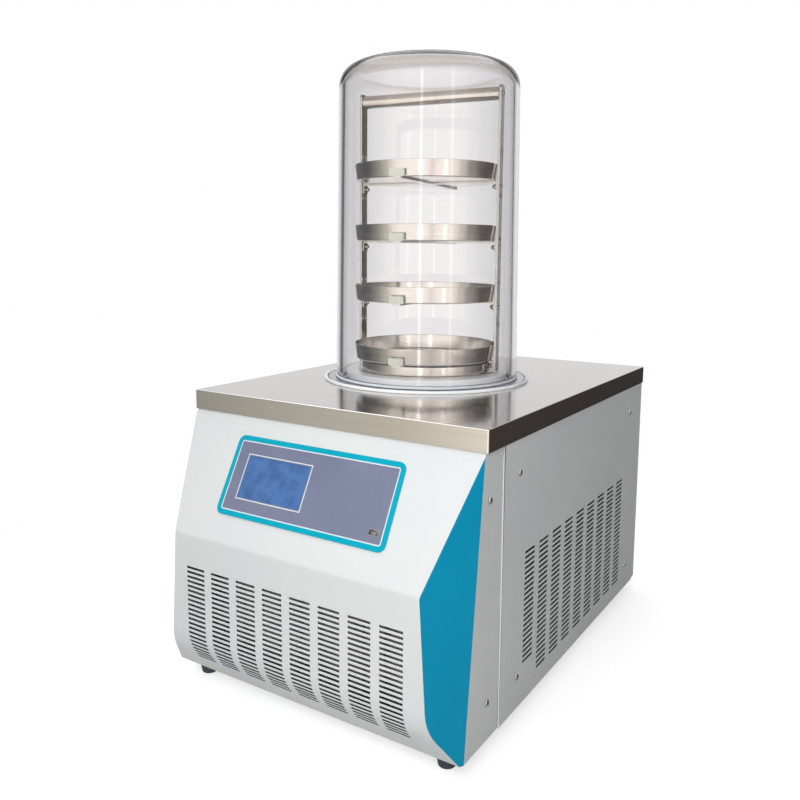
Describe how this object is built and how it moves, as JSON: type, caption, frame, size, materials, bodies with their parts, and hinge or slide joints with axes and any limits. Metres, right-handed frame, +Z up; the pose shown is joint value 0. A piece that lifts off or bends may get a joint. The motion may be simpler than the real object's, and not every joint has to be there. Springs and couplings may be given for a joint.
{
  "type": "bench freeze dryer",
  "caption": "Bench-top freeze dryer: a refrigerated steel cabinet with a slanted touch-screen front and a clear bell jar over a rack of trays.",
  "frame": {"origin": "middle of the object's footprint, on the surface that its feet stand on", "axes": "+Z up, the control panel faces -Y, +X to the right of someone facing the control panel"},
  "size_m": [0.425, 0.6642, 0.8044],
  "materials": {
    "white_paint": "satin powder coat",
    "polished_steel": "polished",
    "brushed_steel": "brushed",
    "zinc_sheet": "matt galvanised",
    "clear_acrylic": "clear gloss",
    "white_plastic": "gloss",
    "pale_plastic": "satin",
    "dark_rubber": "matt",
    "seal_rubber": "matt",
    "insulation_foam": "matt foam",
    "overlay_film": "satin film",
    "screen_glass": "gloss",
    "circuit_board": "satin",
    "black_enamel": "semi-gloss",
    "copper_pipe": "drawn",
    "black_plastic": "moulded",
    "aluminium_sheet": "mill finish",
    "brass_fitting": "machined",
    "red_plastic": "moulded"
  },
  "bodies": {
    "dryer": {"front_cover": "white_paint", "side_panel_left": "white_paint", "side_panel_right": "white_paint", "back_panel": "white_paint", "top_plate": "polished_steel", "trap_flange": "polished_steel", "vacuum_port": "polished_steel", "rack_handle": "polished_steel", "usb_port": "polished_steel", "shelf_cross_1": "polished_steel", "shelf_cross_2": "polished_steel", "shelf_cross_3": "polished_steel", "shelf_cross_4": "polished_steel", "cold_trap": "brushed_steel", "guide_cylinder": "brushed_steel", "rack_upright_left": "brushed_steel", "rack_upright_right": "brushed_steel", "vacuum_pipe": "brushed_steel", "tray_1": "brushed_steel", "tray_2": "brushed_steel", "tray_3": "brushed_steel", "tray_4": "brushed_steel", "base_pan": "zinc_sheet", "post_front_left": "zinc_sheet", "post_front_right": "zinc_sheet", "post_rear_left": "zinc_sheet", "post_rear_right": "zinc_sheet", "cover_bracket_left": "zinc_sheet", "cover_bracket_right": "zinc_sheet", "fan_shroud": "zinc_sheet", "fan_bracket": "zinc_sheet", "control_box": "zinc_sheet", "bell_jar": "clear_acrylic", "rim_ring": "white_plastic", "guide_disc": "white_plastic", "tray_clip_1": "pale_plastic", "tray_clip_2": "pale_plastic", "tray_clip_3": "pale_plastic", "tray_clip_4": "pale_plastic", "foot_front_left": "dark_rubber", "foot_front_right": "dark_rubber", "foot_rear_left": "dark_rubber", "foot_rear_right": "dark_rubber", "jar_seal": "seal_rubber", "trap_insulation": "insulation_foam", "control_overlay": "overlay_film", "touch_screen": "screen_glass", "display_board": "circuit_board", "compressor": "black_enamel", "fan_motor": "black_enamel", "discharge_pipe": "copper_pipe", "suction_pipe": "copper_pipe", "drain_pipe": "copper_pipe", "power_inlet": "black_plastic", "switch_housing": "black_plastic", "condenser": "aluminium_sheet", "drain_valve": "brass_fitting"},
    "fan_rotor": {"fan_rotor": "aluminium_sheet"},
    "drain_lever": {"drain_lever": "red_plastic"},
    "switch_rocker": {"switch_rocker": "red_plastic"}
  },
  "joints": [
    {"name": "fan_spin", "type": "hinge", "parent": "dryer", "child": "fan_rotor", "pos_m": [0, -0.235, 0.1058], "axis": [0, 1, 0], "continuous": true},
    {"name": "drain_lever_turn", "type": "hinge", "parent": "dryer", "child": "drain_lever", "pos_m": [-0.0202, 0.3064, 0.0753], "axis": [0, 0, 1], "range_deg": [0, 90]},
    {"name": "mains_switch_tip", "type": "hinge", "parent": "dryer", "child": "switch_rocker", "pos_m": [0.15, 0.29415, 0.1025], "axis": [1, 0, 0], "range_deg": [0, 16]}
  ]
}
